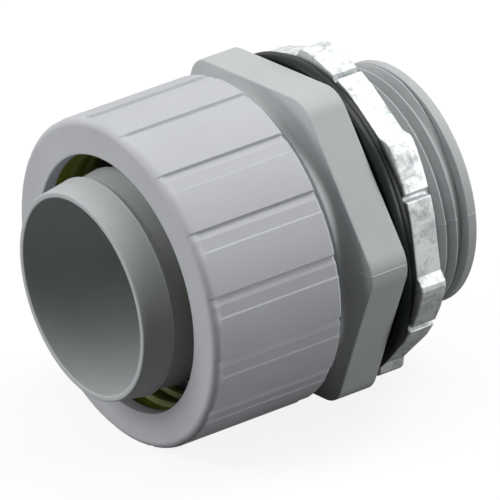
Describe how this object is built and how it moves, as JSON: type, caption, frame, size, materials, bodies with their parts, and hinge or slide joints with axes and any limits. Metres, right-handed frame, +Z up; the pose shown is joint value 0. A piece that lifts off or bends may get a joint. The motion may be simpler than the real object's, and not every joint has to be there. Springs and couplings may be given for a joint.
{
  "type": "liquidtight conduit connector",
  "caption": "Straight liquidtight conduit connector: barbed ferrule, ribbed compression nut, hexagon body, rubber hub gasket and lugged steel locknut on a tapered threaded hub.",
  "frame": {"origin": "on the supporting surface, under the middle of the connector's length", "axes": "+X along the connector's axis towards the threaded hub, +Z up, the connector lying on a wide facet of its compression nut"},
  "size_m": [0.0636, 0.059, 0.056],
  "materials": {
    "grey_plastic": "moulded satin",
    "olive_plastic": "moulded satin",
    "black_rubber": "moulded matte",
    "zinc_steel": "bright zinc plate"
  },
  "bodies": {
    "body": {"body": "grey_plastic", "seal_ring": "black_rubber"},
    "grip_ring": {"grip_ring": "olive_plastic"},
    "compression_nut": {"compression_nut": "grey_plastic"},
    "hub_gasket": {"hub_gasket": "black_rubber"},
    "locknut": {"locknut": "zinc_steel"}
  },
  "joints": [
    {"name": "nut_travel", "type": "slide", "parent": "body", "child": "grip_ring", "axis": [1, 0, 0], "range_m": [-0.0091, 0.0027]},
    {"name": "nut_turn", "type": "hinge", "parent": "grip_ring", "child": "compression_nut", "pos_m": [-0.0127, 0, 0.02776], "axis": [1, 0, 0], "range_deg": [-1080, 312]},
    {"name": "locknut_travel", "type": "slide", "parent": "body", "child": "hub_gasket", "axis": [1, 0, 0], "range_m": [0, 0.0112]},
    {"name": "locknut_turn", "type": "hinge", "parent": "hub_gasket", "child": "locknut", "pos_m": [0.01735, 0, 0.02776], "axis": [1, 0, 0], "range_deg": [0, 1800]}
  ],
  "couplings": [
    {"joint": "nut_travel", "follows": "nut_turn", "m_per_rad": 0.00047746},
    {"joint": "locknut_travel", "follows": "locknut_turn", "m_per_rad": 0.00035153}
  ]
}
